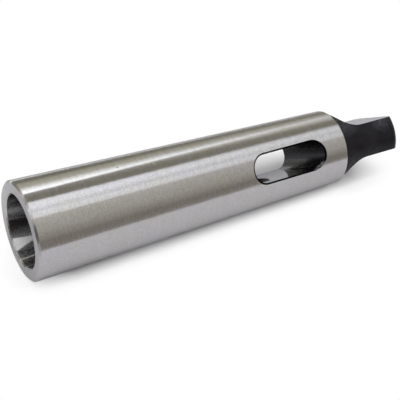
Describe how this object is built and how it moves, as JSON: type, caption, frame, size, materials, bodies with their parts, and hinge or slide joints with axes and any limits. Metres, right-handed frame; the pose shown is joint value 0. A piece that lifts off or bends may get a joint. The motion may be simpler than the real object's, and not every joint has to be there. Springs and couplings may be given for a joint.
{
  "type": "morse taper sleeve",
  "caption": "Ground steel reduction sleeve: tapered outside, tapered socket inside, a drift slot through both walls and a flat milled tang at the small end.",
  "frame": {"origin": "centre of the mouth face, on the sleeve's axis, where the sleeve stands on its mouth", "axes": "+Z along the axis from the mouth to the tang, +Y through the drift slot, +X square to the tang's flats"},
  "size_m": [0.0324, 0.0324, 0.14],
  "materials": {
    "sleeve": "cylindrically ground outside and in the socket; tang, slot and drilled bore left in black oxide"
  },
  "bodies": {
    "root": {"sleeve": "sleeve"}
  },
  "joints": []
}
